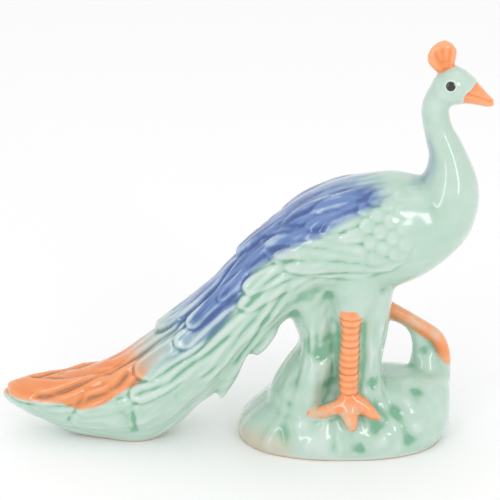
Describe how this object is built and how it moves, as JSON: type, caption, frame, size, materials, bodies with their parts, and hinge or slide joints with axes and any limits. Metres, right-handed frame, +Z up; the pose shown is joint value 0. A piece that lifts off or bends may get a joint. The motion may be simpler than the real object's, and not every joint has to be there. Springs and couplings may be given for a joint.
{
  "type": "peacock figurine",
  "caption": "Glazed ceramic figurine of a peacock walking over a rock, with a long feathered train that trails down to the ground. It stands by itself as an ornament.",
  "frame": {"origin": "under the middle of the figure's box, on the plane that it stands on", "axes": "+X is the way the bird faces, +Z is up and -Y is the side shown in the picture, where the near leg stands"},
  "size_m": [0.1928, 0.0538, 0.1646],
  "materials": {
    "glaze": "glossy celadon glaze on fired clay, shaded with blue and orange"
  },
  "bodies": {
    "root": {"peacock_figurine": "glaze"}
  },
  "joints": []
}
